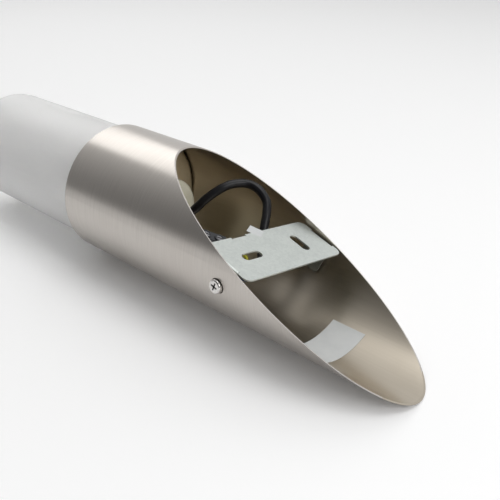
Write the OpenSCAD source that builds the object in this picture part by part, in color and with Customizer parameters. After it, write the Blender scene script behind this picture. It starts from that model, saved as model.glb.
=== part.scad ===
// Uplighter wall sconce: a leaning round tube, cut flat to the wall, that carries an opal diffuser
// in its upper mouth. A U-shaped bracket on two side screws holds it to the wall.
// Millimetres. The wall is the plane Y = 0 and the light stands in front of it, at -Y. Z is up.
// The origin is the middle of the oval that the tube's slanted cut makes on the wall.

/* [Tube] */
// Outer diameter of the tube
tube_d = 76; // [74:0.5:84]
// Wall of the tube
tube_t = 0.5; // [0.4:0.1:0.8]
// Length of the tube on its long side, from the mouth to the tip
tube_len = 214; // [205:1:240]
// Angle between the tube and the wall
lean = 25.7; // [24:0.1:28]

/* [Partition and diffuser] */
// Depth of the partition's wall-side face below the mouth
cup_depth = 24.6; // [22:0.1:28]
// Thickness of the partition
cup_t = 1.2; // [0.8:0.1:1.6]
// Height of the partition's skirt
cup_skirt = 9; // [6:0.5:11]
// Inner radius of the bend between the partition's disc and its skirt
cup_bend_r = 1; // [0.6:0.1:1.2]
// Gap between the tube's bore and the diffuser, filled by the rubber ring
glass_gap = 2.6; // [2.2:0.1:3.4]
// Wall of the diffuser
glass_t = 2.6; // [2:0.1:3.5]
// Height of the diffuser above the mouth
glass_rise = 120; // [90:1:150]
// Radius of the diffuser's shoulder
glass_shoulder_r = 8; // [4:0.5:12]
// Height of the rubber ring in the mouth
seal_h = 7; // [5:0.5:9]
// Depth of the rubber ring's top below the mouth
seal_depth = 2.5; // [1.5:0.5:4]

/* [Lampholder] */
// Radius of the lampholder's rear cap
cap_r = 17.3; // [16.5:0.1:19]
// Length of the rear cap behind the partition
cap_len = 23.5; // [20:0.1:25]
// Wall of the lampholder's mouldings
holder_t = 2; // [1.6:0.1:2.4]
// Outer radius of the lampholder's front shell
shell_r = 19; // [18:0.1:22]
// How far the front shell rises above the lamp sleeve
shell_lip = 2; // [1:0.5:5]
// Inner radius of the threaded lamp sleeve
sleeve_r = 13.3; // [13.3:0.05:13.6]
// Wall of the lamp sleeve
sleeve_t = 0.5; // [0.4:0.1:0.7]
// Height of the lamp sleeve
sleeve_h = 18; // [15:0.5:21]
// Radius at which the lampholder's screws stand
holder_screw_ring_r = 12; // [11.8:0.1:12.2]

/* [Wall bracket] */
// Thickness of the bracket's sheet
sheet_t = 0.8; // [0.7:0.1:1.2]
// Gap between the plate's short ends and the tube's bore
plate_side_gap = 1.4; // [1.3:0.1:2]
// Height of the bracket's plate
plate_h = 30; // [28:0.2:31]
// Corner radius of the plate
plate_corner_r = 4; // [3:0.5:6]
// Height of the plate's middle above the side screws
plate_up = 0.9; // [0:0.1:1.5]
// Distance from the side screws to the plate's wall face
plate_reach = 12.6; // [12:0.1:13.2]
// Outer radius of the bracket's bends
bend_r = 1.4; // [1.3:0.1:1.8]
// Width of the relief notches beside each bend
relief_w = 0.4; // [0.3:0.1:0.8]
// Width of each ear
ear_w = 14.2; // [13:0.2:16]
// How far each ear reaches past the side screws
ear_end = 4.7; // [4:0.1:5.5]
// Corner radius of each ear
ear_corner_r = 2; // [1:0.5:3]
// How far each ear leans in toward the middle, in degrees
ear_toe_in = 10.5; // [10:0.5:12]
// Length of the two wall-screw slots
slot_len = 12.8; // [11:0.2:15]
// Width of the two wall-screw slots
slot_w = 5; // [4:0.1:5.5]
// Distance of each slot's middle from the bracket's middle
slot_x = 18; // [16:0.5:20]
// Depth of the side screws behind the wall plane
pivot_depth = 14; // [13.5:0.1:14.5]
// Height of the side screws above the origin
pivot_up = 7.7; // [7:0.1:8.5]
// Tilt of the bracket on its screws as photographed; at 0 it lies flat on the wall
bracket_tilt = 9.5; // [0:0.5:10]

/* [Side screws] */
// Thread radius of a side screw
screw_r = 2; // [1.5:0.1:2.5]
// Radius of a side screw's head
screw_head_r = 3.5; // [3.2:0.1:4.2]
// Height of a side screw's head
screw_head_h = 3; // [2.4:0.1:3.4]
// How far a side screw's head stands out of the tube
screw_proud = 2.3; // [1.5:0.1:2.6]
// How far a side screw reaches past the ear's inner face
screw_tail = 2; // [1:0.5:3]
// Gap round a side screw's head in the tube's hole
side_hole_gap = 0.4; // [0.3:0.05:0.6]

/* [Earth terminal] */
// Width of the earth tab on the plate's upper edge
tab_w = 9; // [8:0.5:10]
// Distance of the earth tab's middle from the bracket's middle
tab_x = 13.5; // [13:0.5:14]
// Depth of the earth tab behind the plate's wall face
tab_depth = 10.2; // [9.8:0.2:10.6]
// Thread radius of the earth screw
earth_screw_r = 1.5; // [1.25:0.05:1.75]
// Radius of the earth screw's head
earth_head_r = 2.8; // [2.6:0.1:3.2]
// Outer radius of the crimp lug's ring
lug_r = 3.3; // [3.1:0.1:3.6]
// Thickness of the crimp lug's sheet
lug_t = 0.8; // [0.6:0.1:1]
// Length of the earth label
earth_label_len = 7.9; // [6:0.1:9]
// Width of the earth label
earth_label_w = 6.9; // [5:0.1:7.5]

/* [Wiring] */
// Radius of the black lead from the lampholder
lead_r = 2.4; // [2.2:0.05:2.5]
// Radius of each insulated core
core_r = 0.95; // [0.85:0.01:0.95]
// Length of the terminal block along its wires
block_len = 15; // [14:0.5:16]
// Spacing of the terminal block's two poles
pole_pitch = 6.5; // [6.4:0.1:7]
// Radius of the brass tubes in the terminal block
brass_r = 2.1; // [1.9:0.05:2.2]
// Radius of the terminal block's clamp screws
clamp_screw_r = 1.25; // [1:0.05:1.3]

/* [Data label] */
// Length of the data label along the tube
data_label_len = 19.5; // [15:0.5:24]
// Width of the data label around the tube's inside
data_label_w = 38; // [30:0.5:44]
// Distance of the data label's upper edge from the mouth
data_label_down = 150.4; // [145:0.1:155]
// Angle of the data label's middle round from the tube's front line, to the left
data_label_turn = 6; // [0:1:10]

/* [Hidden] */
$fn = 96;

// Colours
steel = "#a39c94";
zinc = "#c3c8c6";
cream = "#d6d6bb";
brass = "#c9a54d";
black_rubber = "#22242a";
white_label = "#eeeeec";

// Running clearances
eps = 0.01;
cup_clearance = 0.15;
seal_clearance = 0.3;
seat_clearance = 0.3;
thread_clearance = 0.02;
grip_clearance = 0.1;
film_clearance = 0.05;

// Tube
tube_r = tube_d / 2;
bore_r = tube_r - tube_t;
mouth_z = tube_len - tube_r / tan(lean);
far = 3 * tube_len;

// Partition and diffuser, measured along the tube from the origin
cup_z = mouth_z - cup_depth;
cup_top_z = cup_z + cup_t;
cup_r = bore_r - cup_clearance;
glass_r = bore_r - glass_gap;
glass_foot_z = cup_top_z + seat_clearance;
glass_len = mouth_z + glass_rise - glass_foot_z;
seal_z = mouth_z - seal_depth - seal_h;
seal_outer_r = bore_r - film_clearance;
seal_inner_r = glass_r + seal_clearance;
seal_lip = 0.6;

// Lampholder
cap_hole_r = 4;
cup_hole_r = 8.6;
cap_round_r = 2.5;
holder_screw_r = 1.5;
holder_screw_head_r = 2.7;
holder_screw_head_h = 2;
holder_boss_r = 3.6;
holder_boss_len = 9;
shell_base_t = 3;
shell_hole_r = 7.4;
insert_stem_r = 8.9;
insert_stem_inner_r = 6.9;
insert_stem_h = 4.5;
insert_r = shell_r - holder_t - 0.2;
insert_t = 2.4;
insert_z = cup_top_z + shell_base_t;
insert_top_z = insert_z + insert_stem_h + insert_t;
insert_rim_h = 3.3;
insert_rim_inner_r = sleeve_r - 1.7;
sleeve_z = insert_top_z + insert_rim_h + film_clearance;
shell_h = sleeve_z + sleeve_h + shell_lip - cup_top_z;
sleeve_outer_r = sleeve_r + sleeve_t;
contact_t = 0.5;
contact_w = 5;
centre_contact_rise = 3;
centre_post = [-3, 0];
side_post = [0, 5];
post_r = 1;
post_len = 3;
lead_inside = 4.5;
lead_end_z = lead_inside - cap_len;

// Cable bush
bush_wall_gap = 0.1;
bush_flange_r = 5.8;
bush_flange_t = 1.4;
bush_nose_len = 6.4;
bush_nose_r = 3.6;
bush_bore_r = lead_r + grip_clearance;

// Bracket, in its own frame on the side screws' line: +Y to the wall, +Z up the plate
pivot = [0, -pivot_depth, pivot_up];
plate_w = 2 * (bore_r - plate_side_gap);
ear_x = plate_w / 2;
ear_bend_x = ear_x - bend_r / cos(ear_toe_in);
ear_mid_x = ear_x - (plate_reach - bend_r) * tan(ear_toe_in);
ear_len = (plate_reach - bend_r + ear_end) / cos(ear_toe_in) + sheet_t;
collar_r = screw_r + 1;
collar_len = 1.5;
side_hole_r = screw_head_r + side_hole_gap;
pivot_across = abs(pivot.y * cos(lean) + pivot.z * sin(lean));
screw_seat_x = sqrt(pow(tube_r, 2) - pow(pivot_across, 2)) + screw_proud - screw_head_h;
screw_inner_x = ear_mid_x - sheet_t - screw_tail;
plate_top = plate_up + plate_h / 2;
tab_end_y = plate_reach - tab_depth;
tab_screw_y = tab_end_y + 4.2;
tab_hole_r = earth_screw_r + film_clearance;
earth_head_h = 1.9;
earth_screw_tail = 3;
lug_hole_r = earth_screw_r + grip_clearance;
lug_barrel_len = 5;
lug_barrel_r = 1.7;
lug_barrel_x = tab_x + lug_r + 0.6;
lug_mouth_x = lug_barrel_x + lug_barrel_len;
lug_axis_z = plate_top + film_clearance + lug_barrel_r;
lead_end_x = 9;
core_start_x = lead_end_x + seat_clearance;
inner_core_top_z = cup_t + shell_base_t + insert_stem_h - post_len - film_clearance;
label_t = 0.2;
label_recess = label_t + film_clearance;
earth_label_turn = -29;
earth_label_x = 0;
earth_label_up = 0.6;

// Terminal block: X along the wires, Y to the wall, Z across the poles
block_at = [15, -21.5, 36];
block_turn = -40;
pole_w = 6;
block_floor_y = -5;
block_shoulder_y = 4.6;
block_tower_y = 5.2;
tower_r = 2.6;
tower_x = 3.6;
well_r = 1.9;
brass_bore_r = 1.4;
brass_len = block_len - 2.4;
web_t = 3;
web_len = 7;
clamp_screw_head_y = 5;

// Data label
label_film_t = 0.15;

// The lead's route: out of the rear cap along the tube's axis, round in one loop, then along the
// side screws' line. The loop's heights are above the side screws, and stretch with the tube.
bush_end_z = cup_z - cap_len - bush_nose_len;
loop_h = 65;
loop_stretch = (axis_point([0, 0, bush_end_z]).z - pivot.z) / loop_h;
lead_route = [
    axis_point([0, 0, cup_z + lead_end_z]),
    axis_point([0, 0, cup_z - cap_len]),
    axis_point([0, 0, bush_end_z]),
    axis_point([0, 0, bush_end_z - 1]),
    loop_point([-1, -29, 59.8]), loop_point([-2, -22.6, 57.9]), loop_point([-5, -17, 57.3]),
    loop_point([-11, -10.2, 56.1]), loop_point([-17, -6.4, 54.4]), loop_point([-23, -4, 50.4]),
    loop_point([-25, -2.9, 43.7]), loop_point([-25, -4.4, 36.3]), loop_point([-22, -7.5, 30.7]),
    loop_point([-18, -12.1, 25.2]), loop_point([-13.5, -17, 18.8]), loop_point([-8, -19, 11.3]),
    loop_point([-3, -17.5, 4.6]),
    pivot + [1.5, -0.8, 0.6], pivot + [5, 0, 0], pivot + [lead_end_x, 0, 0]
];
// The two supply cores, from the lead's end to the terminal block
live_route = [
    pivot + [core_start_x, -1, 1], pivot + [core_start_x + 1.5, -1, 1],
    pivot + [12, -3.4, 3.8], pivot + [9, -6, 9.3], [6, -20.5, 22], [5.6, -20.3, 26],
    block_point([-11, 0, pole_pitch / 2]), block_point([-6, 0, pole_pitch / 2]),
    block_point([-2, 0, pole_pitch / 2])
];
neutral_route = [
    pivot + [core_start_x, -1, -1], pivot + [core_start_x + 1.5, -1, -1],
    pivot + [14.3, -3.4, 0.6], pivot + [14, -6.4, 6.5], [11.3, -20.5, 20],
    block_point([-11, 0, -pole_pitch / 2]), block_point([-6, 0, -pole_pitch / 2]),
    block_point([-2, 0, -pole_pitch / 2])
];
// The earth core, in the bracket's frame, from the lead's end to the crimp lug
earth_route = [
    [core_start_x, 1.35, 0], [core_start_x + 1.5, 1.35, 0], [13.5, 2.4, 1.6], [15.2, 4.8, 4.2],
    [16, 8, 5.1], [18.5, 9.8, 7.6], [22.6, 9.4, 11.4], [25.8, 7.8, 15.6],
    [lug_mouth_x + 2.6, tab_screw_y, lug_axis_z - 0.4], [lug_mouth_x, tab_screw_y, lug_axis_z],
    [lug_mouth_x - 3, tab_screw_y, lug_axis_z]
];
// The two cores inside the lampholder, along the tube's axis from the partition
inner_live_route = [
    [-1, 0, lead_end_z + seat_clearance], [-1, 0, lead_end_z + 1.5], [-1.4, 0, -13],
    [-3.6, -1.5, -7], [-4, -1, 0], [-3.2, 0, 3.5], [centre_post.x, centre_post.y, inner_core_top_z]
];
inner_neutral_route = [
    [1, 0, lead_end_z + seat_clearance], [1, 0, lead_end_z + 1.5], [1.4, 0.5, -13],
    [3.6, 2.5, -7], [3, 4, 0], [0.4, 4.8, 3.5], [side_post.x, side_post.y, inner_core_top_z]
];
lead_sides = 12;
core_sides = 8;
steps_per_span = 3;

// Points given in the tube's frame, in the terminal block's frame and above the side screws,
// moved to the shared frame
function loop_point(p) = [p.x, p.y, pivot.z + p.z * loop_stretch];
function axis_point(p) = [
    p.x,
    p.y * cos(lean) - p.z * sin(lean),
    p.y * sin(lean) + p.z * cos(lean)
];
function block_point(p) = block_at + [
    p.x * cos(block_turn) + p.z * sin(block_turn),
    p.y,
    p.z * cos(block_turn) - p.x * sin(block_turn)
];

// Points on a smooth curve through a route
function curve_point(p, i, t) =
    let (a = p[max(i - 1, 0)], b = p[i], c = p[i + 1], d = p[min(i + 2, len(p) - 1)])
    0.5 * (2 * b + (c - a) * t + (2 * a - 5 * b + 4 * c - d) * t * t + (3 * b - a - 3 * c + d) * t * t * t);
function curve(p) = [
    for (i = [0 : len(p) - 2])
        for (k = [0 : steps_per_span - 1])
            curve_point(p, i, k / steps_per_span),
    p[len(p) - 1]
];

// Directions along a curve, and side vectors carried along it without twist
function unit(v) = v / norm(v);
function heading(p, i) = unit(p[min(i + 1, len(p) - 1)] - p[max(i - 1, 0)]);
function square_to(v, h) = unit(v - h * (v * h));
function sides_along(p, i, v) =
    i == len(p) ? [] : let (s = square_to(v, heading(p, i))) concat([s], sides_along(p, i + 1, s));

// A round cord of one solid along a route
module cord(route, r, sides) {
    p = curve(route);
    n = len(p);
    side = sides_along(p, 0, [1, 0.35, 0.2]);
    points = [
        for (i = [0 : n - 1])
            let (h = heading(p, i), s = side[i], q = cross(h, s))
            for (k = [0 : sides - 1])
                p[i] + r * (cos(360 * k / sides) * s + sin(360 * k / sides) * q)
    ];
    walls = [
        for (i = [0 : n - 2])
            for (k = [0 : sides - 1])
                let (m = (k + 1) % sides, a = i * sides)
                for (f = [[a + k, a + sides + m, a + m], [a + k, a + sides + k, a + sides + m]])
                    f
    ];
    start_cap = [for (k = [1 : sides - 2]) [0, k, k + 1]];
    last = (n - 1) * sides;
    end_cap = [for (k = [1 : sides - 2]) [last, last + k + 1, last + k]];
    polyhedron(points = points, faces = concat(walls, start_cap, end_cap), convexity = 6);
}

// Frames
module on_axis(z) {
    rotate([lean, 0, 0])
        translate([0, 0, z])
            children();
}

module at_bracket() {
    translate(pivot)
        rotate([bracket_tilt, 0, 0])
            children();
}

module at_block() {
    translate(block_at)
        rotate([0, block_turn, 0])
            children();
}

// A flat sheet whose outline is drawn in X and Z, from face_y back toward the front
module facing_wall(face_y, t) {
    translate([0, face_y, 0])
        rotate([90, 0, 0])
            linear_extrude(t)
                children();
}

// Outlines
module rounded_rectangle(w, h, r) {
    square([w - 2 * r, h], center = true);
    square([w, h - 2 * r], center = true);
    for (x = [-1, 1])
        for (y = [-1, 1])
            translate([x * (w / 2 - r), y * (h / 2 - r)])
                circle(r);
}

module slot_outline(length, w) {
    square([length - w, w], center = true);
    for (x = [-1, 1])
        translate([x * (length - w) / 2, 0])
            circle(d = w);
}

// A pan head with a cross recess, its seat at z = 0 and its shank below
module pan_screw(r, head_r, head_h, shank_len) {
    crown_r = head_h * 0.3;
    cross_len = head_r * 1.1;
    cross_w = head_r * 0.24;
    cross_depth = head_h * 0.55;
    difference() {
        union() {
            translate([0, 0, -shank_len])
                cylinder(r = r, h = shank_len + eps);
            rotate_extrude()
                shouldered_profile(head_r, head_h, crown_r);
        }
        for (a = [0, 90])
            rotate(a)
                translate([-cross_len / 2, -cross_w / 2, head_h - cross_depth])
                    cube([cross_len, cross_w, cross_depth + eps]);
    }
}

// The metal tube: square mouth above, slanted cut on the wall below
module body_tube() {
    color(steel)
        difference() {
            on_axis(mouth_z - tube_len)
                difference() {
                    cylinder(r = tube_r, h = tube_len);
                    translate([0, 0, -1])
                        cylinder(r = bore_r, h = tube_len + 2);
                }
            translate([-far / 2, 0, -far / 2])
                cube(far);
            translate(pivot)
                rotate([0, 90, 0])
                    cylinder(r = side_hole_r, h = tube_d + 2, center = true);
        }
}

// The pressed cup across the tube, its skirt toward the mouth
module partition_cup() {
    outer_bend_r = cup_bend_r + cup_t;
    color(steel)
        on_axis(cup_z)
            difference() {
                rotate_extrude() {
                    square([cup_r - outer_bend_r, cup_t]);
                    translate([cup_r - cup_t, outer_bend_r])
                        square([cup_t, cup_skirt - outer_bend_r]);
                    translate([cup_r - outer_bend_r, outer_bend_r])
                        difference() {
                            intersection() {
                                circle(outer_bend_r);
                                translate([0, -outer_bend_r])
                                    square(outer_bend_r);
                            }
                            circle(cup_bend_r);
                        }
                }
                translate([0, 0, -1])
                    cylinder(r = cup_hole_r, h = cup_t + 2);
                holder_screw_places()
                    translate([0, 0, -1])
                        cylinder(r = holder_screw_r + grip_clearance, h = cup_t + 2);
            }
}

module holder_screw_places() {
    for (x = [-1, 1])
        translate([x * holder_screw_ring_r, 0, 0])
            children();
}

// The rubber ring between the tube's mouth and the diffuser, with two lips
module seal_ring() {
    color(black_rubber)
        on_axis(seal_z)
            rotate_extrude()
                difference() {
                    translate([seal_inner_r, 0])
                        square([seal_outer_r - seal_inner_r, seal_h]);
                    translate([seal_inner_r, seal_h / 2])
                        circle(seal_lip);
                    translate([seal_outer_r, seal_h / 2])
                        circle(seal_lip);
                }
}

// The opal cylinder, open below and closed above with a rounded shoulder
module diffuser() {
    color("#f4f4f0", 0.9)
        on_axis(glass_foot_z)
            rotate_extrude()
                difference() {
                    shouldered_profile(glass_r, glass_len, glass_shoulder_r);
                    translate([0, -1])
                        shouldered_profile(
                            glass_r - glass_t,
                            glass_len - glass_t + 1,
                            max(glass_shoulder_r - glass_t, 0.5)
                        );
                }
}

module shouldered_profile(r, h, shoulder_r) {
    square([r, h - shoulder_r]);
    square([r - shoulder_r, h]);
    translate([r - shoulder_r, h - shoulder_r])
        intersection() {
            circle(shoulder_r);
            square(shoulder_r);
        }
}

// The cream cap behind the partition, closed but for the cable's hole
module holder_cap() {
    inner_r = cap_r - holder_t;
    color(cream)
        on_axis(cup_z)
            mirror([0, 0, 1])
                difference() {
                    union() {
                        rotate_extrude()
                            difference() {
                                shouldered_profile(cap_r, cap_len, cap_round_r);
                                translate([0, -1])
                                    square([inner_r, cap_len - holder_t + 1]);
                                square([cap_hole_r, cap_len + 1]);
                            }
                        holder_screw_places()
                            cylinder(r = holder_boss_r, h = holder_boss_len);
                    }
                    holder_screw_places()
                        translate([0, 0, -1])
                            cylinder(r = holder_screw_r, h = holder_boss_len);
                }
}

// The cream shell round the lamp's socket, above the partition
module holder_shell() {
    color(cream)
        on_axis(cup_top_z)
            difference() {
                cylinder(r = shell_r, h = shell_h);
                translate([0, 0, shell_base_t])
                    cylinder(r = shell_r - holder_t, h = shell_h);
                translate([0, 0, -1])
                    cylinder(r = shell_hole_r, h = shell_base_t + 2);
                holder_screw_places()
                    translate([0, 0, -1])
                        cylinder(r = holder_screw_r + grip_clearance, h = shell_base_t + 2);
            }
}

// The insulating insert that carries the contacts and the lamp sleeve
module holder_insert() {
    notch_w = contact_w + 0.4;
    color("#e9e7df")
        on_axis(insert_z)
            difference() {
                union() {
                    cylinder(r = insert_stem_r, h = insert_stem_h + eps);
                    translate([0, 0, insert_stem_h])
                        cylinder(r = insert_r, h = insert_t);
                    translate([0, 0, insert_stem_h + insert_t])
                        difference() {
                            translate([0, 0, -eps])
                                cylinder(r = sleeve_outer_r, h = insert_rim_h + eps);
                            translate([0, 0, -2 * eps])
                                cylinder(r = insert_rim_inner_r, h = insert_rim_h + 1);
                            translate([-notch_w / 2, 0, insert_rim_h - contact_t - film_clearance])
                                cube([notch_w, sleeve_outer_r + 1, 2 * contact_t]);
                        }
                }
                translate([0, 0, -1])
                    cylinder(r = insert_stem_inner_r, h = insert_stem_h + 1);
                for (post = [centre_post, side_post])
                    translate([post.x, post.y, 0])
                        cylinder(r = post_r + thread_clearance, h = insert_stem_h + insert_t + 1);
            }
}

// The two screws that clamp shell, partition and cap together
module holder_screws() {
    color(zinc)
        on_axis(insert_z)
            holder_screw_places()
                pan_screw(
                    holder_screw_r - thread_clearance,
                    holder_screw_head_r,
                    holder_screw_head_h,
                    shell_base_t + cup_t + holder_boss_len - 3
                );
}

// The metal sleeve that takes the lamp's thread
module lamp_sleeve() {
    color(brass)
        on_axis(sleeve_z)
            difference() {
                cylinder(r = sleeve_outer_r, h = sleeve_h);
                translate([0, 0, -1])
                    cylinder(r = sleeve_r, h = sleeve_h + 2);
            }
}

// The post that takes a contact's wire through the insert
module contact_post(place) {
    translate([place.x, place.y, -insert_t - post_len])
        cylinder(r = post_r, h = insert_t + post_len + eps);
}

// The centre contact: a strip from its post, sprung up to meet the lamp's tip
module centre_contact() {
    foot_x = -4.5;
    tip_x = 4.5;
    color(brass)
        on_axis(insert_top_z) {
            contact_post(centre_post);
            translate([0, contact_w / 2, 0])
                rotate([90, 0, 0])
                    linear_extrude(contact_w)
                        polygon([
                            [foot_x, 0],
                            [-1, 0],
                            [tip_x - 1, centre_contact_rise - contact_t],
                            [tip_x, centre_contact_rise - contact_t],
                            [tip_x, centre_contact_rise],
                            [tip_x - 1.2, centre_contact_rise],
                            [-1.2, contact_t],
                            [foot_x, contact_t]
                        ]);
        }
}

// The side contact: from its post over the insert's rim, to lie under the sleeve
module side_contact() {
    foot_y = side_post.y - post_r - 0.4;
    rise_y = sqrt(pow(insert_rim_inner_r, 2) - pow(contact_w / 2, 2)) - film_clearance;
    color(brass)
        on_axis(insert_top_z) {
            contact_post(side_post);
            translate([-contact_w / 2, 0, 0])
                rotate([90, 0, 90])
                    linear_extrude(contact_w)
                        polygon([
                            [foot_y, 0],
                            [rise_y, 0],
                            [rise_y, insert_rim_h - contact_t],
                            [sleeve_outer_r, insert_rim_h - contact_t],
                            [sleeve_outer_r, insert_rim_h],
                            [rise_y - contact_t, insert_rim_h],
                            [rise_y - contact_t, contact_t],
                            [foot_y, contact_t]
                        ]);
        }
}

// The rubber bush that grips the lead in the cap's hole
module cable_bush() {
    color(black_rubber)
        on_axis(cup_z - cap_len)
            mirror([0, 0, 1])
                rotate_extrude()
                    difference() {
                        union() {
                            translate([0, bush_wall_gap])
                                square([bush_flange_r, bush_flange_t]);
                            translate([0, -holder_t - bush_wall_gap - bush_flange_t])
                                square([bush_flange_r - 0.6, bush_flange_t]);
                            translate([0, -holder_t - bush_wall_gap - bush_flange_t])
                                square([
                                    cap_hole_r - bush_wall_gap,
                                    holder_t + 2 * bush_wall_gap + 2 * bush_flange_t
                                ]);
                            square([bush_nose_r, bush_nose_len]);
                        }
                        translate([0, -2 * bush_nose_len])
                            square([bush_bore_r, 4 * bush_nose_len]);
                    }
}

module lead_cable() {
    color(black_rubber)
        cord(lead_route, lead_r, lead_sides);
}

module core_live() {
    color("#6b4226")
        cord(live_route, core_r, core_sides);
}

module core_neutral() {
    color("#2f5fa8")
        cord(neutral_route, core_r, core_sides);
}

module core_earth() {
    color("#9ab82f")
        at_bracket()
            cord(earth_route, core_r, core_sides);
}

module holder_core_live() {
    color("#6b4226")
        on_axis(cup_z)
            cord(inner_live_route, core_r, core_sides);
}

module holder_core_neutral() {
    color("#2f5fa8")
        on_axis(cup_z)
            cord(inner_neutral_route, core_r, core_sides);
}

// Places of the terminal block's two poles, and of the two screws in each
module pole_places() {
    for (z = [-1, 1])
        translate([0, 0, z * pole_pitch / 2])
            children();
}

module clamp_places() {
    pole_places()
        for (x = [-1, 1])
            translate([x * tower_x, 0, 0])
                rotate([-90, 0, 0])
                    children();
}

// Two poles of black moulding with screw towers, joined by a web
module terminal_block() {
    color("#25262b")
        at_block()
            difference() {
                union() {
                    pole_places()
                        translate([-block_len / 2, block_floor_y, -pole_w / 2])
                            cube([block_len, block_shoulder_y - block_floor_y, pole_w]);
                    clamp_places()
                        cylinder(r = tower_r, h = block_tower_y);
                    translate([-web_len / 2, block_floor_y, -pole_pitch / 2])
                        cube([web_len, web_t, pole_pitch]);
                }
                pole_places()
                    rotate([0, 90, 0])
                        cylinder(r = brass_r + grip_clearance, h = block_len + 2, center = true);
                clamp_places()
                    cylinder(r = well_r, h = block_tower_y + 1);
            }
}

module terminal_tubes() {
    color(brass)
        at_block()
            difference() {
                pole_places()
                    rotate([0, 90, 0])
                        cylinder(r = brass_r, h = brass_len, center = true);
                pole_places()
                    rotate([0, 90, 0])
                        cylinder(r = brass_bore_r, h = brass_len + 2, center = true);
                clamp_places()
                    cylinder(r = clamp_screw_r + film_clearance, h = block_tower_y);
            }
}

module terminal_screws() {
    head_h = 1.6;
    color(zinc)
        at_block()
            clamp_places()
                difference() {
                    union() {
                        translate([0, 0, core_r + film_clearance])
                            cylinder(r = clamp_screw_r, h = clamp_screw_head_y - core_r - 1);
                        translate([0, 0, clamp_screw_head_y - head_h])
                            cylinder(r = well_r - grip_clearance, h = head_h);
                    }
                    translate([-well_r, -0.3, clamp_screw_head_y - 0.8])
                        cube([2 * well_r, 0.6, 1]);
                }
}

// Section of a strip bent back from an edge of the plate: X out along the plate, Y to the wall
module bent_section(turn, length) {
    inner_r = bend_r - sheet_t;
    translate([-1, inner_r])
        square([1, sheet_t]);
    intersection() {
        difference() {
            circle(bend_r);
            circle(inner_r);
        }
        union() {
            square(bend_r);
            rotate(90 - turn)
                square(bend_r);
        }
    }
    rotate(90 - turn)
        translate([inner_r, -length])
            square([sheet_t, length]);
}

// The right-hand ear, leaning in, with a plunged collar for the side screw
module ear() {
    difference() {
        union() {
            intersection() {
                translate([ear_bend_x, plate_reach - bend_r, 0])
                    linear_extrude(ear_w, center = true)
                        bent_section(90 + ear_toe_in, ear_len);
                rotate([0, 90, 0])
                    linear_extrude(ear_x + 1)
                        ear_outline();
            }
            translate([ear_mid_x - sheet_t - collar_len, 0, 0])
                rotate([0, 90, 0])
                    cylinder(r = collar_r, h = collar_len + sheet_t / 2);
        }
        rotate([0, 90, 0])
            cylinder(r = screw_r, h = ear_x + 2);
    }
}

// The ear's outline: its width across, its length from past the side screws up to the plate
module ear_outline() {
    straight = plate_reach + 1;
    translate([-ear_w / 2, ear_corner_r - ear_end])
        square([ear_w, straight + ear_end - ear_corner_r]);
    translate([0, (straight - ear_end) / 2])
        rounded_rectangle(ear_w, straight + ear_end, ear_corner_r);
}

// The earth tab, bent back from the plate's upper edge, with the earth screw's hole
module earth_tab() {
    difference() {
        translate([tab_x, plate_reach - bend_r, plate_top - bend_r])
            rotate([0, -90, 0])
                linear_extrude(tab_w, center = true)
                    bent_section(90, tab_depth - bend_r);
        translate([tab_x, tab_screw_y, plate_top - 2 * sheet_t])
            cylinder(r = tab_hole_r, h = 3 * sheet_t);
    }
}

// The plate: two crossing slots, and notches where the ears and the tab are bent back
module plate_outline() {
    difference() {
        translate([0, plate_up])
            rounded_rectangle(plate_w, plate_h, plate_corner_r);
        for (x = [ear_bend_x, -ear_bend_x - 2 * bend_r])
            translate([x, -ear_w / 2 - relief_w])
                square([2 * bend_r, ear_w + 2 * relief_w]);
        translate([tab_x - tab_w / 2 - relief_w, plate_top - bend_r])
            square([tab_w + 2 * relief_w, 2 * bend_r]);
        translate([slot_x, plate_up])
            slot_outline(slot_len, slot_w);
        translate([-slot_x, plate_up])
            rotate(90)
                slot_outline(slot_len, slot_w);
    }
}

// The zinc-plated bracket: plate, two ears and the earth tab in one sheet
module wall_bracket() {
    color(zinc)
        at_bracket() {
            difference() {
                facing_wall(plate_reach, sheet_t)
                    plate_outline();
                facing_wall(plate_reach + eps, label_recess + eps)
                    earth_label_outline(film_clearance);
            }
            ear();
            mirror([1, 0, 0])
                ear();
            earth_tab();
        }
}

// A side screw through the tube into the right-hand ear
module side_screw() {
    at_bracket()
        translate([screw_seat_x, 0, 0])
            rotate([0, 90, 0])
                pan_screw(
                    screw_r - thread_clearance,
                    screw_head_r,
                    screw_head_h,
                    screw_seat_x - screw_inner_x
                );
}

module side_screw_right() {
    color("#cfccc8")
        side_screw();
}

module side_screw_left() {
    color("#cfccc8")
        mirror([1, 0, 0])
            side_screw();
}

// The crimp lug on the tab, its barrel toward the right-hand ear
module earth_lug() {
    color("#b9a77e")
        at_bracket()
            translate([0, tab_screw_y, plate_top + film_clearance]) {
                difference() {
                    union() {
                        translate([tab_x, 0, 0])
                            cylinder(r = lug_r, h = lug_t);
                        translate([tab_x, -lug_r / 2, 0])
                            cube([lug_barrel_x - tab_x + 0.4, lug_r, lug_t]);
                        translate([lug_barrel_x, 0, lug_barrel_r])
                            rotate([0, 90, 0])
                                cylinder(r = lug_barrel_r, h = lug_barrel_len);
                    }
                    translate([tab_x, 0, -1])
                        cylinder(r = lug_hole_r, h = lug_t + 2);
                    translate([lug_barrel_x + 1, 0, lug_barrel_r])
                        rotate([0, 90, 0])
                            cylinder(r = core_r + grip_clearance, h = lug_barrel_len);
                }
            }
}

module earth_screw() {
    color(zinc)
        at_bracket()
            translate([tab_x, tab_screw_y, plate_top + film_clearance + lug_t])
                pan_screw(
                    earth_screw_r - thread_clearance,
                    earth_head_r,
                    earth_head_h,
                    film_clearance + lug_t + sheet_t + earth_screw_tail
                );
}

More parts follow.
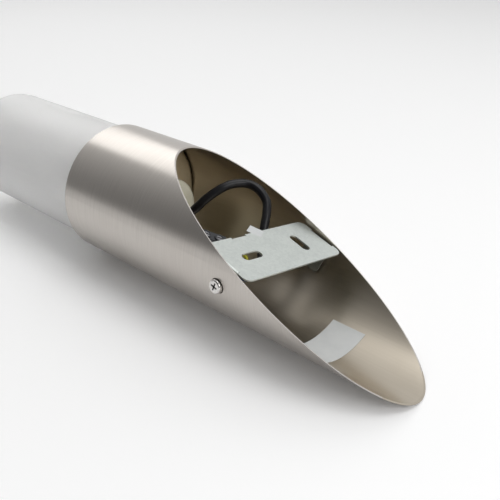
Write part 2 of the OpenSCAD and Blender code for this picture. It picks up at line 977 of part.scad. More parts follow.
// The small white label on the plate's upper edge, flush so that the plate can lie on the wall
module earth_label() {
    color(white_label)
        at_bracket()
            facing_wall(plate_reach - film_clearance, label_t)
                earth_label_outline(0);
}

module earth_label_outline(margin) {
    translate([earth_label_x, plate_top + earth_label_up])
        rotate(earth_label_turn)
            square([earth_label_w + 2 * margin, earth_label_len + 2 * margin], center = true);
}

// The white data label inside the tube's long side
module data_label() {
    half_turn = data_label_w / bore_r * 90 / PI;
    color(white_label)
        on_axis(mouth_z - data_label_down - data_label_len)
            rotate(-90 - data_label_turn - half_turn)
                rotate_extrude(angle = 2 * half_turn)
                    translate([bore_r - film_clearance - label_film_t, 0])
                        square([label_film_t, data_label_len]);
}

body_tube();
partition_cup();
seal_ring();
diffuser();
holder_cap();
holder_shell();
holder_insert();
holder_screws();
lamp_sleeve();
centre_contact();
side_contact();
holder_core_live();
holder_core_neutral();
cable_bush();
lead_cable();
core_live();
core_neutral();
core_earth();
terminal_block();
terminal_tubes();
terminal_screws();
wall_bracket();
side_screw_right();
side_screw_left();
earth_lug();
earth_screw();
earth_label();
data_label();
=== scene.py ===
"""Looks for the uplighter wall sconce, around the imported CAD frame.

Frame: metres. The wall is Y = 0 (+Y into it), +Z up the wall, +X to the right seen from the room.
The tube's axis runs through the origin, leaning 25.7 degrees out from the wall. For its picture the
light lies on a table, wall side up, and the directions RIGHT, BACK and UP are the table's.
"""
import math

import bpy
import bmesh
from mathutils import Matrix, Vector


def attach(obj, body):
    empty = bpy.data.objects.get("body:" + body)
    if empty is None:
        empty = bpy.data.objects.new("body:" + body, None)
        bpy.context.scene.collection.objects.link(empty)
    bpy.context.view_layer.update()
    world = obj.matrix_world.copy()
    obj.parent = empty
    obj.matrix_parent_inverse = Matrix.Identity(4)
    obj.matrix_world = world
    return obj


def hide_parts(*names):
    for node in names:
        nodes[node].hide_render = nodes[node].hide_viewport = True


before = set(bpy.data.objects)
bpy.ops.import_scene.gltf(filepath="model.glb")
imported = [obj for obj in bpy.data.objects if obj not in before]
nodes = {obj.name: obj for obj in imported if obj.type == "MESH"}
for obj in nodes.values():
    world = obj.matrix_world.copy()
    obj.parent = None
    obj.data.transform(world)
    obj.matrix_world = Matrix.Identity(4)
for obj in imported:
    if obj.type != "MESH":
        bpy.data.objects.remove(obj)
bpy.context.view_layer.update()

# ------------------------------------------------------------------ sizes shared with the CAD
LEAN = math.radians(25.7)
TUBE_R = 0.038
TUBE_LEN = 0.214
MOUTH_S = TUBE_LEN - TUBE_R / math.tan(LEAN)
CUP_DEPTH = 0.0246
CUP_S = MOUTH_S - CUP_DEPTH
CAP_LEN = 0.0235
CAP_BACK_S = CUP_S - CAP_LEN
BUSH_NOSE_LEN = 0.0064
BUSH_NOSE_S = CAP_BACK_S - BUSH_NOSE_LEN
LEAD_INSIDE = 0.0045
LEAD_R = 0.0024
CORE_R = 0.00095
LOOP_H = 0.065
PIVOT = Vector((0, -0.014, 0.0077))
BRACKET_TILT = math.radians(9.5)
BLOCK_AT = Vector((0.015, -0.0215, 0.036))
BLOCK_TURN = math.radians(-40)
POLE_Z = 0.00325
LUG_MOUTH_X = 0.0224
LUG_Z = 0.01765
TAB_Y = 0.0066
PLATE_T = 0.0008
FOLD_R = 0.0014
# Size of the cross in a side screw; its walls and floor get painted shade.
CROSS_R = 0.0024
CROSS_SKIN = 0.00012
CROSS_DEEP = 0.0024

AXIS = Vector((0, -math.sin(LEAN), math.cos(LEAN)))
ACROSS = Vector((0, math.cos(LEAN), math.sin(LEAN)))
SIDE = Vector((1, 0, 0))


def axis_point(x, y, s):
    """A point given across the tube (x, y) and along it (s from the origin)."""
    return SIDE * x + ACROSS * y + AXIS * s


# ------------------------------------------------------------------ camera
PHOTO_PX = 500
FOCAL_PX = 700.61
SENSOR_MM = 36.0
CAM_AT = Vector((0.2554452, 0.1885071, -0.1180291))
CAM_RIGHT = Vector((-0.6735044, 0.42683623, -0.60349205))
CAM_DOWN = Vector((0.17568629, -0.70060088, -0.69158712))
CAM_FWD = Vector((-0.7180015, -0.57181225, 0.39686849))
cam_data = bpy.data.cameras.new("camera")
cam_data.sensor_width = SENSOR_MM
cam_data.lens = FOCAL_PX / PHOTO_PX * SENSOR_MM
cam_data.clip_start = 0.01
cam_data.clip_end = 30
camera = bpy.data.objects.new("camera", cam_data)
camera.matrix_world = Matrix((
    (CAM_RIGHT.x, -CAM_DOWN.x, -CAM_FWD.x, CAM_AT.x),
    (CAM_RIGHT.y, -CAM_DOWN.y, -CAM_FWD.y, CAM_AT.y),
    (CAM_RIGHT.z, -CAM_DOWN.z, -CAM_FWD.z, CAM_AT.z),
    (0, 0, 0, 1),
))
bpy.context.scene.collection.objects.link(camera)
bpy.context.scene.camera = camera

# ------------------------------------------------------------------ table under the tube
FLOOR_GAP = 0.0002
UP = AXIS.cross(CAM_RIGHT).normalized()
if UP.dot(CAM_DOWN) > 0:
    UP.negate()
RIGHT = CAM_RIGHT.normalized()
BACK = UP.cross(RIGHT).normalized()
if BACK.dot(CAM_FWD) < 0:
    BACK.negate()
FLOOR_AT = -UP * (TUBE_R + FLOOR_GAP)


def table_direction(azimuth, elevation):
    """A direction over the table: azimuth to the right of straight back, elevation above it, in degrees."""
    a, e = math.radians(azimuth), math.radians(elevation)
    return (RIGHT * math.sin(a) + BACK * math.cos(a)) * math.cos(e) + UP * math.sin(e)


# ------------------------------------------------------------------ node helpers
def new_material(name):
    """A new material, its node tree and its surface shader."""
    m = bpy.data.materials.new(name)
    m.use_nodes = True
    t = m.node_tree
    t.nodes.clear()
    out = t.nodes.new("ShaderNodeOutputMaterial")
    b = t.nodes.new("ShaderNodeBsdfPrincipled")
    t.links.new(b.outputs["BSDF"], out.inputs["Surface"])
    return m, t, b


def put(t, kind, inputs=None, **props):
    """Adds a node. An input that is given a socket is linked to it, any other is set."""
    n = t.nodes.new(kind)
    for k, v in props.items():
        setattr(n, k, v)
    for k, v in (inputs or {}).items():
        if isinstance(v, bpy.types.NodeSocket):
            t.links.new(v, n.inputs[k])
        else:
            n.inputs[k].default_value = v
    return n


def math_node(t, op, a, b=0.0):
    return put(t, "ShaderNodeMath", {0: a, 1: b}, operation=op).outputs[0]


def add(t, a, b):
    return math_node(t, "ADD", a, b)


def times(t, a, b):
    return math_node(t, "MULTIPLY", a, b)


def vec_node(t, op, a, b):
    n = put(t, "ShaderNodeVectorMath", {0: a, 1: b}, operation=op)
    return n.outputs["Value" if op == "DOT_PRODUCT" else "Vector"]


def span(t, value, lo, hi, out_lo=0.0, out_hi=1.0):
    """Maps lo..hi to out_lo..out_hi, with soft ends."""
    n = put(t, "ShaderNodeMapRange",
            {"Value": value, "From Min": lo, "From Max": hi, "To Min": out_lo, "To Max": out_hi})
    n.interpolation_type = "SMOOTHSTEP"
    return n.outputs["Result"]


def mix_color(t, fac, a, b):
    n = t.nodes.new("ShaderNodeMix")
    n.data_type = "RGBA"
    for key, v in ((0, fac), (6, a), (7, b)):
        if isinstance(v, bpy.types.NodeSocket):
            t.links.new(v, n.inputs[key])
        else:
            n.inputs[key].default_value = (*v, 1)
    return n.outputs[2]


def noise(t, vector, scale, detail=3.0, rough=0.5, distortion=0.0):
    return put(t, "ShaderNodeTexNoise", {
        "Vector": vector, "Scale": scale, "Detail": detail, "Roughness": rough, "Distortion": distortion,
    }).outputs["Fac"]


def bump(t, height, strength, distance):
    n = put(t, "ShaderNodeBump", {"Height": height, "Strength": strength, "Distance": distance})
    return n.outputs["Normal"]


def here(t):
    return put(t, "ShaderNodeTexCoord").outputs["Object"]


def combine(t, a, b, c):
    return put(t, "ShaderNodeCombineXYZ", {0: a, 1: b, 2: c}).outputs[0]


def tube_coords(t):
    """Position, distance along the tube and distance round its wall."""
    pos = here(t)
    s = vec_node(t, "DOT_PRODUCT", pos, AXIS)
    sideways = vec_node(t, "DOT_PRODUCT", pos, SIDE)
    crossways = vec_node(t, "DOT_PRODUCT", pos, ACROSS)
    angle = math_node(t, "ARCTAN2", sideways, crossways)
    return pos, s, times(t, angle, TUBE_R)


def stretched(t, s, way, per_s, per_way, seed):
    """A noise's place with its own scale along the tube and round it."""
    return combine(t, times(t, s, per_s), times(t, way, per_way), seed)


def assign(material, *names):
    for name in names:
        o = nodes[name]
        o.data.materials.clear()
        o.data.materials.append(material)


# ------------------------------------------------------------------ tube
def make_outer_steel():
    """Stainless brushed round the tube: each fine line runs across its length."""
    m, t, b = new_material("outer_steel")
    pos, s, way = tube_coords(t)
    fine = noise(t, stretched(t, s, way, 5200.0, 60.0, 0.0), 1.0, 2.0, 0.6)
    lines = noise(t, stretched(t, s, way, 1700.0, 26.0, 4.0), 1.0, 2.0, 0.55)
    broad = noise(t, stretched(t, s, way, 70.0, 8.0, 9.0), 1.0, 2.0, 0.5)
    film = noise(t, pos, 26.0, 3.0, 0.5, 0.4)
    grain = add(t, times(t, fine, 0.6), times(t, lines, 0.4))
    col = mix_color(t, span(t, grain, 0.3, 0.7), (0.505, 0.474, 0.440), (0.590, 0.557, 0.520))
    col = mix_color(t, span(t, broad, 0.35, 0.7, 0.0, 0.22), col, (0.530, 0.487, 0.448))
    col = mix_color(t, span(t, film, 0.45, 0.75, 0.0, 0.15), col, (0.560, 0.510, 0.470))
    t.links.new(col, b.inputs["Base Color"])
    b.inputs["Metallic"].default_value = 1.0
    t.links.new(add(t, 0.235, add(t, times(t, grain, 0.10), times(t, film, 0.05))), b.inputs["Roughness"])
    b.inputs["Anisotropic"].default_value = 0.65
    t.links.new(combine(t, *AXIS), b.inputs["Tangent"])
    t.links.new(bump(t, grain, 0.06, 0.00008), b.inputs["Normal"])
    return m


def make_inner_steel():
    """The unbrushed inside of the tube: smooth, browner, with faint streaks along it."""
    m, t, b = new_material("inner_steel")
    pos, s, way = tube_coords(t)
    streak = noise(t, stretched(t, s, way, 16.0, 620.0, 2.0), 1.0, 3.0, 0.6)
    smear = noise(t, stretched(t, s, way, 20.0, 90.0, 7.0), 1.0, 2.0, 0.5)
    cloud = noise(t, pos, 40.0, 2.0, 0.5, 0.3)
    col = mix_color(t, span(t, streak, 0.3, 0.7), (0.525, 0.472, 0.392), (0.550, 0.495, 0.414))
    col = mix_color(t, span(t, cloud, 0.4, 0.72, 0.0, 0.4), col, (0.500, 0.444, 0.361))
    t.links.new(col, b.inputs["Base Color"])
    b.inputs["Metallic"].default_value = 1.0
    t.links.new(add(t, 0.265, add(t, times(t, smear, 0.05), times(t, cloud, 0.04))), b.inputs["Roughness"])
    t.links.new(bump(t, cloud, 0.05, 0.00010), b.inputs["Normal"])
    return m


def make_cut_steel():
    """The bare edges where the tube and its holes are cut."""
    m, t, b = new_material("cut_steel")
    n = noise(t, here(t), 1500.0, 2.0, 0.5)
    col = mix_color(t, span(t, n, 0.3, 0.7), (0.56, 0.53, 0.50), (0.70, 0.67, 0.64))
    t.links.new(col, b.inputs["Base Color"])
    b.inputs["Metallic"].default_value = 1.0
    t.links.new(add(t, 0.30, times(t, n, 0.15)), b.inputs["Roughness"])
    t.links.new(bump(t, n, 0.2, 0.00005), b.inputs["Normal"])
    return m


WALL_FACING = 0.8
OUTER, INNER, CUT = range(3)


def dress_tube():
    """Outside, inside and cut edges each get their own steel."""
    mesh = nodes["body_tube"].data
    mesh.materials.clear()
    for m in (make_outer_steel(), make_inner_steel(), make_cut_steel()):
        mesh.materials.append(m)
    for p in mesh.polygons:
        out = p.center - AXIS * p.center.dot(AXIS)
        facing = p.normal.dot(out.normalized())
        if facing > WALL_FACING:
            p.material_index = OUTER
        elif facing < -WALL_FACING:
            p.material_index = INNER
        else:
            p.material_index = CUT


# ------------------------------------------------------------------ other materials
def make_cup_steel():
    """The partition's pressed steel, paler than the inside of the tube."""
    m, t, b = new_material("cup_steel")
    pos = here(t)
    cloud = noise(t, pos, 45.0, 4.0, 0.6, 0.4)
    fine = noise(t, pos, 900.0, 2.0, 0.5)
    col = mix_color(t, span(t, cloud, 0.3, 0.7), (0.73, 0.695, 0.59), (0.80, 0.765, 0.66))
    t.links.new(col, b.inputs["Base Color"])
    b.inputs["Metallic"].default_value = 1.0
    t.links.new(add(t, 0.28, times(t, cloud, 0.14)), b.inputs["Roughness"])
    t.links.new(bump(t, fine, 0.10, 0.00008), b.inputs["Normal"])
    return m


def make_zinc(name, lo, hi):
    """Zinc-plated sheet: a slightly green satin with very fine mottling."""
    m, t, b = new_material(name)
    pos = here(t)
    cells = put(t, "ShaderNodeTexVoronoi", {"Vector": pos, "Scale": 850.0}, feature="F1")
    spangle = put(t, "ShaderNodeSeparateColor", {0: cells.outputs["Color"]}).outputs[0]
    cloud = noise(t, pos, 90.0, 4.0, 0.6)
    speck = noise(t, pos, 2600.0, 2.0, 0.6)
    mixed = add(t, times(t, spangle, 0.22), add(t, times(t, cloud, 0.43), times(t, speck, 0.35)))
    t.links.new(mix_color(t, span(t, mixed, 0.3, 0.7), lo, hi), b.inputs["Base Color"])
    b.inputs["Metallic"].default_value = 0.80
    t.links.new(add(t, 0.34, times(t, mixed, 0.14)), b.inputs["Roughness"])
    t.links.new(bump(t, mixed, 0.10, 0.00006), b.inputs["Normal"])
    return m


def dress_bracket():
    """The flat plate is bright; the ears and the tab behind it get a darker copy of the zinc, which is
    painted shade for the tube's shadow they lie in.
    """
    o = nodes["wall_bracket"]
    mesh = o.data
    mesh.materials.clear()
    mesh.materials.append(make_zinc("zinc_sheet", (0.560, 0.594, 0.570), (0.640, 0.674, 0.645)))
    # A darker copy of the same zinc: painted shade for the ears and the tab.
    mesh.materials.append(make_zinc("zinc_painted_shade", (0.300, 0.315, 0.298), (0.370, 0.386, 0.362)))
    flat = Matrix.Rotation(-BRACKET_TILT, 3, "X")
    depth = [(flat @ (p.center - PIVOT)).y for p in mesh.polygons]
    back = max(depth) - PLATE_T - FOLD_R
    for p, y in zip(mesh.polygons, depth):
        # Faces behind the plate take the darker copy, the painted shade.
        p.material_index = 1 if y < back else 0


def dress_screw(name, steel, recess):
    """The walls and the floor of the cross get a dark copy of the screw's metal, which is painted shade in
    the recess.
    """
    mesh = nodes[name].data
    mesh.materials.clear()
    mesh.materials.append(steel)
    mesh.materials.append(recess)
    reach = max(abs(p.center.x) for p in mesh.polygons)
    for p in mesh.polygons:
        off = math.hypot(p.center.y - PIVOT.y, p.center.z - PIVOT.z)
        sunk = reach - abs(p.center.x)
        # Faces inside the cross take the painted shade.
        p.material_index = 1 if off < CROSS_R and CROSS_SKIN < sunk < CROSS_DEEP else 0


def make_metal(name, lo, hi, rough):
    """A plain metal with a faint grain."""
    m, t, b = new_material(name)
    n = noise(t, here(t), 400.0, 3.0, 0.6)
    t.links.new(mix_color(t, span(t, n, 0.3, 0.7), lo, hi), b.inputs["Base Color"])
    b.inputs["Metallic"].default_value = 1.0
    t.links.new(add(t, rough, times(t, n, 0.10)), b.inputs["Roughness"])
    t.links.new(bump(t, n, 0.08, 0.00006), b.inputs["Normal"])
    return m


def make_moulded(name, lo, hi, rough):
    """A moulded plastic or rubber with a fine tooth."""
    m, t, b = new_material(name)
    pos = here(t)
    fine = noise(t, pos, 1400.0, 3.0, 0.55)
    cloud = noise(t, pos, 60.0, 3.0, 0.5)
    t.links.new(mix_color(t, span(t, cloud, 0.3, 0.7), lo, hi), b.inputs["Base Color"])
    t.links.new(add(t, rough, times(t, fine, 0.10)), b.inputs["Roughness"])
    t.links.new(bump(t, fine, 0.12, 0.00008), b.inputs["Normal"])
    return m


def make_lead_rubber():
    """The lead's sheath: near black, smooth, with faint drawing marks along it."""
    m, t, b = new_material("lead_rubber")
    uv = put(t, "ShaderNodeSeparateXYZ", {0: put(t, "ShaderNodeTexCoord").outputs["UV"]})
    place = combine(t, times(t, uv.outputs[0], 34.0), times(t, uv.outputs[1], 60.0), 0.0)
    marks = noise(t, place, 1.0, 2.0, 0.5)
    dust = noise(t, here(t), 520.0, 3.0, 0.6)
    col = mix_color(t, span(t, dust, 0.45, 0.75), (0.0060, 0.0060, 0.0080), (0.0140, 0.0135, 0.0145))
    t.links.new(col, b.inputs["Base Color"])
    t.links.new(add(t, 0.26, times(t, marks, 0.08)), b.inputs["Roughness"])
    b.inputs["Specular IOR Level"].default_value = 0.32
    t.links.new(bump(t, add(t, marks, times(t, dust, 0.4)), 0.10, 0.00006), b.inputs["Normal"])
    return m


def make_core_sheath(name, ground, stripe=None):
    """A core's insulation. A stripe, where there is one, covers half its round and twists slowly."""
    m, t, b = new_material(name)
    n = noise(t, here(t), 900.0, 2.0, 0.5)
    shade = tuple(0.8 * c for c in ground)
    col = mix_color(t, span(t, n, 0.35, 0.65), shade, ground)
    if stripe:
        uv = put(t, "ShaderNodeSeparateXYZ", {0: put(t, "ShaderNodeTexCoord").outputs["UV"]})
        turn = math_node(t, "FRACT", add(t, uv.outputs[0], times(t, uv.outputs[1], 18.0)))
        col = mix_color(t, span(t, math_node(t, "PINGPONG", turn, 0.5), 0.24, 0.27), col, stripe)
    t.links.new(col, b.inputs["Base Color"])
    t.links.new(add(t, 0.30, times(t, n, 0.08)), b.inputs["Roughness"])
    t.links.new(bump(t, n, 0.06, 0.00005), b.inputs["Normal"])
    return m


def make_label():
    """White film with a faint paper tooth, its white painted down to a light grey: painted shade for the
    shade the labels lie in.
    """
    m, t, b = new_material("label_film_painted_shade")
    pos = here(t)
    tooth = noise(t, pos, 2400.0, 2.0, 0.5)
    cloud = noise(t, pos, 110.0, 3.0, 0.5)
    # Light grey in place of white: painted shade.
    col = mix_color(t, span(t, cloud, 0.35, 0.65), (0.560, 0.575, 0.572), (0.600, 0.613, 0.608))
    t.links.new(col, b.inputs["Base Color"])
    t.links.new(add(t, 0.36, times(t, tooth, 0.10)), b.inputs["Roughness"])
    t.links.new(bump(t, add(t, tooth, times(t, cloud, 2.0)), 0.06, 0.00006), b.inputs["Normal"])
    return m


def make_opal():
    """The diffuser: pale, lets light through and has a soft sheen."""
    m, t, b = new_material("opal_diffuser")
    pos = here(t)
    cloud = noise(t, pos, 18.0, 3.0, 0.5)
    fine = noise(t, pos, 900.0, 2.0, 0.5)
    col = mix_color(t, span(t, cloud, 0.3, 0.7), (0.955, 0.953, 0.947), (0.975, 0.973, 0.968))
    t.links.new(col, b.inputs["Base Color"])
    t.links.new(add(t, 0.62, times(t, fine, 0.08)), b.inputs["Roughness"])
    b.inputs["Transmission Weight"].default_value = 0.75
    b.inputs["Coat Weight"].default_value = 0.6
    b.inputs["Coat Roughness"].default_value = 0.30
    t.links.new(bump(t, fine, 0.05, 0.00005), b.inputs["Normal"])
    return m


dress_tube()
assign(make_cup_steel(), "partition_cup")
dress_bracket()
bright_screw = make_metal("bright_screw", (0.62, 0.60, 0.58), (0.76, 0.74, 0.72), 0.16)
# A dark copy of the screw metal: painted shade for the cross recess.
recess_painted_shade = make_metal("recess_painted_shade", (0.10, 0.095, 0.09), (0.17, 0.16, 0.15), 0.35)
for screw in ("side_screw_right", "side_screw_left"):
    dress_screw(screw, bright_screw, recess_painted_shade)
assign(make_metal("plated_screw", (0.64, 0.65, 0.64), (0.78, 0.79, 0.78), 0.20),
       "earth_screw", "holder_screws")
# The terminal screws get a dark copy of the plated steel: painted shade, as they sit deep inside the tube.
assign(make_metal("terminal_screw_painted_shade", (0.20, 0.20, 0.21), (0.30, 0.30, 0.31), 0.30), "terminal_screws")
assign(make_metal("tinned_lug", (0.60, 0.58, 0.52), (0.72, 0.70, 0.64), 0.26), "earth_lug")
assign(make_metal("brass", (0.62, 0.46, 0.20), (0.76, 0.60, 0.30), 0.20),
       "lamp_sleeve", "centre_contact", "side_contact", "terminal_tubes")
assign(make_moulded("cream_moulding", (0.90, 0.87, 0.70), (0.94, 0.91, 0.74), 0.30),
       "holder_cap", "holder_shell")
assign(make_moulded("insert_moulding", (0.72, 0.70, 0.62), (0.78, 0.76, 0.69), 0.42), "holder_insert")
assign(make_moulded("bush_rubber", (0.013, 0.013, 0.014), (0.021, 0.021, 0.023), 0.40), "cable_bush")
assign(make_moulded("seal_rubber", (0.012, 0.012, 0.013), (0.020, 0.020, 0.021), 0.48), "seal_ring")
assign(make_moulded("block_moulding", (0.013, 0.014, 0.017), (0.022, 0.023, 0.027), 0.28), "terminal_block")
assign(make_label(), "earth_label", "data_label")
assign(make_opal(), "diffuser")


# ------------------------------------------------------------------ lead and cores
def loop_point(x, y, z):
    """A point of the lead's loop, by its height over the side screws, stretched to reach the bush."""
    stretch = (axis_point(0, 0, BUSH_NOSE_S).z - PIVOT.z) / LOOP_H
    return Vector((x, y, PIVOT.z + z * stretch))


def block_point(x, z):
    """A point on a pole of the terminal block."""
    c, s = math.cos(BLOCK_TURN), math.sin(BLOCK_TURN)
    return BLOCK_AT + Vector((x * c + z * s, 0, z * c - x * s))


def bracket_point(x, y, z):
    """A point that tilts with the bracket, measured from the side screws."""
    return PIVOT + Matrix.Rotation(BRACKET_TILT, 3, "X") @ Vector((x, y, z))


def smooth_route(points, steps):
    """Points on one smooth curve through a route, as the CAD's cords have it."""
    last = len(points) - 1
    curve = []
    for i in range(last):
        a, b, c, d = points[max(i - 1, 0)], points[i], points[i + 1], points[min(i + 2, last)]
        for k in range(steps):
            u = k / steps
            curve.append(0.5 * (2 * b + (c - a) * u + (2 * a - 5 * b + 4 * c - d) * u ** 2
                                + (3 * b - a - 3 * c + d) * u ** 3))
    curve.append(points[last])
    return curve


def make_cord(name, points, radius, material, sides=28, steps=12):
    """A round cord along a route, with a UV map: turns round it, and metres along it."""
    path = smooth_route(points, steps)
    bm = bmesh.new()
    uv = bm.loops.layers.uv.new("cord")
    side = Vector((1, 0.35, 0.2))
    along = [0.0]
    rings = []
    for i, p in enumerate(path):
        if i:
            along.append(along[-1] + (p - path[i - 1]).length)
        heading = (path[min(i + 1, len(path) - 1)] - path[max(i - 1, 0)]).normalized()
        side = (side - heading * side.dot(heading)).normalized()
        other = heading.cross(side)
        turns = [2 * math.pi * k / sides for k in range(sides)]
        rings.append([bm.verts.new(p + radius * (side * math.cos(a) + other * math.sin(a))) for a in turns])
    for i in range(len(rings) - 1):
        for k in range(sides):
            m = (k + 1) % sides
            f = bm.faces.new((rings[i][k], rings[i][m], rings[i + 1][m], rings[i + 1][k]))
            f.smooth = True
            for loop, (u, v) in zip(f.loops, ((k, i), (k + 1, i), (k + 1, i + 1), (k, i + 1))):
                loop[uv].uv = (u / sides, along[v])
    bm.faces.new(reversed(rings[0]))
    bm.faces.new(rings[-1])
    mesh = bpy.data.meshes.new(name)
    bm.to_mesh(mesh)
    bm.free()
    mesh.materials.append(material)
    cord = bpy.data.objects.new(name, mesh)
    bpy.context.scene.collection.objects.link(cord)
    return cord, path, along[-1]


LEAD_END_X = 0.009
CORE_START_X = LEAD_END_X + 0.0003
LEAD_STRAIGHT = 0.001
lead_loop = [loop_point(x, y, z) for x, y, z in (
    (-0.001, -0.029, 0.0598), (-0.002, -0.0226, 0.0579), (-0.005, -0.017, 0.0573),
    (-0.011, -0.0102, 0.0561), (-0.017, -0.0064, 0.0544), (-0.023, -0.004, 0.0504),
    (-0.025, -0.0029, 0.0437), (-0.025, -0.0044, 0.0363), (-0.022, -0.0075, 0.0307),
    (-0.018, -0.0121, 0.0252), (-0.0135, -0.017, 0.0188), (-0.008, -0.019, 0.0113),
    (-0.003, -0.0175, 0.0046),
)]
lead_route = [
    axis_point(0, 0, CAP_BACK_S + LEAD_INSIDE),
    axis_point(0, 0, CAP_BACK_S),
    axis_point(0, 0, BUSH_NOSE_S),
    axis_point(0, 0, BUSH_NOSE_S - LEAD_STRAIGHT),
    *lead_loop,
    PIVOT + Vector((0.0015, -0.0008, 0.0006)),
    PIVOT + Vector((0.005, 0, 0)),
    PIVOT + Vector((LEAD_END_X, 0, 0)),
]
live_route = [
    PIVOT + Vector((CORE_START_X, -0.001, 0.001)), PIVOT + Vector((CORE_START_X + 0.0015, -0.001, 0.001)),
    PIVOT + Vector((0.012, -0.0034, 0.0038)), PIVOT + Vector((0.009, -0.006, 0.0093)),
    Vector((0.006, -0.0205, 0.022)), Vector((0.0056, -0.0203, 0.026)),
    block_point(-0.011, POLE_Z), block_point(-0.006, POLE_Z), block_point(-0.002, POLE_Z),
]
neutral_route = [
    PIVOT + Vector((CORE_START_X, -0.001, -0.001)), PIVOT + Vector((CORE_START_X + 0.0015, -0.001, -0.001)),
    PIVOT + Vector((0.0143, -0.0034, 0.0006)), PIVOT + Vector((0.014, -0.0064, 0.0065)),
    Vector((0.0113, -0.0205, 0.020)),
    block_point(-0.011, -POLE_Z), block_point(-0.006, -POLE_Z), block_point(-0.002, -POLE_Z),
]
earth_route = [
    bracket_point(CORE_START_X, 0.00135, 0), bracket_point(CORE_START_X + 0.0015, 0.00135, 0),
    bracket_point(0.0135, 0.0024, 0.0016), bracket_point(0.0152, 0.0048, 0.0042),
    bracket_point(0.016, 0.008, 0.0051), bracket_point(0.0185, 0.0098, 0.0076),
    bracket_point(0.0226, 0.0094, 0.0114), bracket_point(0.0258, 0.0078, 0.0156),
    bracket_point(LUG_MOUTH_X + 0.0026, TAB_Y, LUG_Z - 0.0004), bracket_point(LUG_MOUTH_X, TAB_Y, LUG_Z),
    bracket_point(LUG_MOUTH_X - 0.003, TAB_Y, LUG_Z),
]
# Inside the lampholder, along the axis from the partition
INNER_START = LEAD_INSIDE - CAP_LEN + 0.0003
INNER_END = 0.00565
inner_live_route = [axis_point(x, y, CUP_S + s) for x, y, s in (
    (-0.001, 0, INNER_START), (-0.001, 0, INNER_START + 0.0012),
    (-0.0014, 0, -0.013), (-0.0036, -0.0015, -0.007),
    (-0.004, -0.001, 0), (-0.0032, 0, 0.0035), (-0.003, 0, INNER_END))]
inner_neutral_route = [axis_point(x, y, CUP_S + s) for x, y, s in (
    (0.001, 0, INNER_START), (0.001, 0, INNER_START + 0.0012),
    (0.0014, 0.0005, -0.013), (0.0036, 0.0025, -0.007),
    (0.003, 0.004, 0), (0.0004, 0.0048, 0.0035), (0, 0.005, INNER_END))]

live_sheath = make_core_sheath("live_sheath", (0.13, 0.055, 0.025))
neutral_sheath = make_core_sheath("neutral_sheath", (0.025, 0.085, 0.30))
earth_sheath = make_core_sheath("earth_sheath", (0.52, 0.50, 0.035), (0.035, 0.22, 0.045))
for node, route, sheath, body in (
    ("core_live", live_route, live_sheath, "tube"),
    ("core_neutral", neutral_route, neutral_sheath, "tube"),
    ("core_earth", earth_route, earth_sheath, "bracket"),
    ("holder_core_live", inner_live_route, live_sheath, "tube"),
    ("holder_core_neutral", inner_neutral_route, neutral_sheath, "tube"),
):
    core, _, _ = make_cord(node + "_sheath", route, CORE_R, sheath, sides=16)
    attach(core, body)
    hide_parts(node)

lead, lead_path, lead_len = make_cord("lead_sheath", lead_route, LEAD_R, make_lead_rubber())
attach(lead, "tube")
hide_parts("lead_cable")


# ------------------------------------------------------------------ floor
FLOOR_HALF = 6.0
FLOOR_LIFT = 0.055


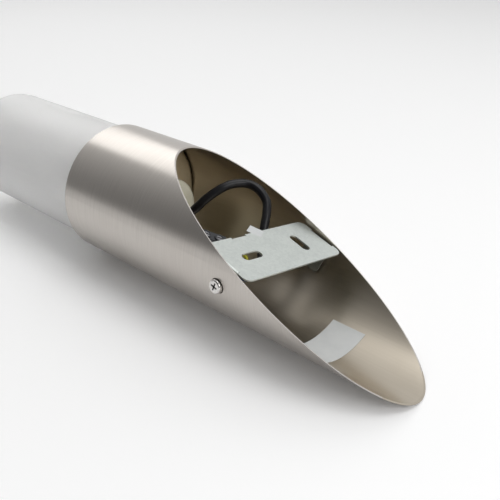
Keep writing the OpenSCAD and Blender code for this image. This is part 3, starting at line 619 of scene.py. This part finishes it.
def make_floor():
    """A pale table that shows near white, keeps the light's shadow, and is clear when seen from beneath."""
    bm = bmesh.new()
    signs = ((-1, -1), (1, -1), (1, 1), (-1, 1))
    corners = [FLOOR_AT + RIGHT * sx * FLOOR_HALF + BACK * sy * FLOOR_HALF for sx, sy in signs]
    face = bm.faces.new([bm.verts.new(c) for c in corners])
    bm.normal_update()
    if face.normal.dot(UP) < 0:
        face.normal_flip()
    mesh = bpy.data.meshes.new("floor")
    bm.to_mesh(mesh)
    bm.free()
    floor = bpy.data.objects.new("floor", mesh)
    bpy.context.scene.collection.objects.link(floor)
    m, t, b = new_material("pale_floor")
    b.inputs["Roughness"].default_value = 0.6
    b.inputs["Specular IOR Level"].default_value = 0.2
    b.inputs["Base Color"].default_value = (0.95, 0.95, 0.95, 1)
    path = put(t, "ShaderNodeLightPath").outputs
    mirrored = math_node(t, "MAXIMUM", path["Is Glossy Ray"], path["Is Transmission Ray"])
    lift = times(t, math_node(t, "MAXIMUM", path["Is Camera Ray"], mirrored), FLOOR_LIFT)
    b.inputs["Emission Color"].default_value = (1, 1, 1, 1)
    t.links.new(lift, b.inputs["Emission Strength"])
    clear = put(t, "ShaderNodeBsdfTransparent").outputs[0]
    under = put(t, "ShaderNodeNewGeometry").outputs["Backfacing"]
    both = put(t, "ShaderNodeMixShader", {0: under, 1: b.outputs[0], 2: clear}).outputs[0]
    out = next(n for n in t.nodes if n.type == "OUTPUT_MATERIAL")
    t.links.new(both, out.inputs["Surface"])
    mesh.materials.append(m)


make_floor()


# ------------------------------------------------------------------ light
BACK_ELEVATION = 10
FADE_FROM = -0.4
FADE_TO = 0.85


def make_world(front_level, back_level, back_azimuth):
    """A studio that is paler behind the table than before it."""
    world = bpy.data.worlds.new("studio")
    bpy.context.scene.world = world
    world.use_nodes = True
    t = world.node_tree
    t.nodes.clear()
    way = put(t, "ShaderNodeTexCoord").outputs["Generated"]
    behind = vec_node(t, "DOT_PRODUCT", way, table_direction(back_azimuth, BACK_ELEVATION))
    level = span(t, behind, FADE_FROM, FADE_TO, front_level, back_level)
    bg = put(t, "ShaderNodeBackground", {"Color": (1, 1, 1, 1), "Strength": level})
    t.links.new(bg.outputs[0], put(t, "ShaderNodeOutputWorld").inputs["Surface"])


def softbox(name, azimuth, elevation, distance, width, height, radiance):
    """An area light over the table, facing the origin, of a given brightness."""
    z = table_direction(azimuth, elevation)
    x = (UP.cross(z)).normalized()
    y = z.cross(x)
    at = z * distance
    d = bpy.data.lights.new(name, "AREA")
    d.shape = "RECTANGLE"
    d.size, d.size_y = width, height
    d.energy = radiance * math.pi * width * height
    o = bpy.data.objects.new(name, d)
    o.matrix_world = Matrix((
        (x.x, y.x, z.x, at.x),
        (x.y, y.y, z.y, at.y),
        (x.z, y.z, z.z, at.z),
        (0, 0, 0, 1),
    ))
    bpy.context.scene.collection.objects.link(o)


make_world(front_level=0.13, back_level=0.80, back_azimuth=10)
softbox("key", azimuth=-27, elevation=37, distance=1.5, width=0.85, height=0.55, radiance=1.8)
softbox("fill", azimuth=138, elevation=38, distance=1.3, width=0.9, height=0.80, radiance=3.1)
softbox("overhead", azimuth=60, elevation=80, distance=1.5, width=0.9, height=0.9, radiance=2.55)

bpy.context.scene.view_settings.view_transform = "Standard"
